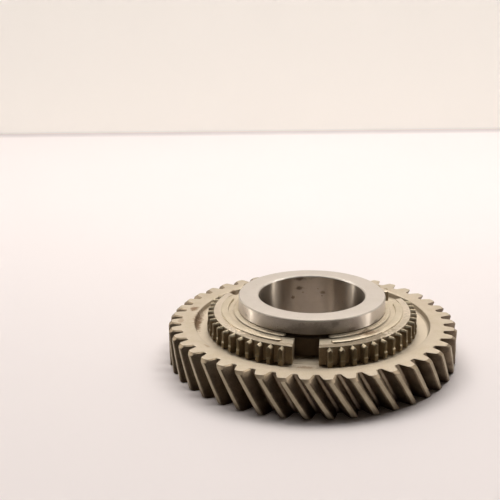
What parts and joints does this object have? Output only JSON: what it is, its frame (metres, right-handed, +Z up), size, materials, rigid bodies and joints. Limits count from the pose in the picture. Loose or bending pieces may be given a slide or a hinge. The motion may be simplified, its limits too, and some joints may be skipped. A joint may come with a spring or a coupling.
{
  "type": "helical gear",
  "caption": "Flat helical gear for a manual gearbox: left-hand toothed rim, sunk web, slotted ring of straight clutch teeth and a tall ground hub with a large plain bore.",
  "frame": {"origin": "on the bore axis, in the plane of the rear face that the gear lies on", "axes": "+Z up along the bore axis from the rear face towards the clutch teeth and the hub; +X and +Y in the rear face, with one clutch ring slot about 22 degrees from +X towards +Y"},
  "size_m": [0.13, 0.13, 0.0295],
  "materials": {
    "gear_steel": "hardened and ground steel with a faint straw tint, brown oil film in the tooth gaps and small rust freckles",
    "ring_steel": "case-hardened steel, straw coloured on the turned face and dark brown between the teeth",
    "weld_metal": "smooth weld metal, slightly darker than the ring"
  },
  "bodies": {
    "root": {"helical_gear_wheel": "gear_steel", "clutch_dog_ring": "ring_steel", "weld_seam_1": "weld_metal", "weld_seam_2": "weld_metal", "weld_seam_3": "weld_metal"}
  },
  "joints": []
}
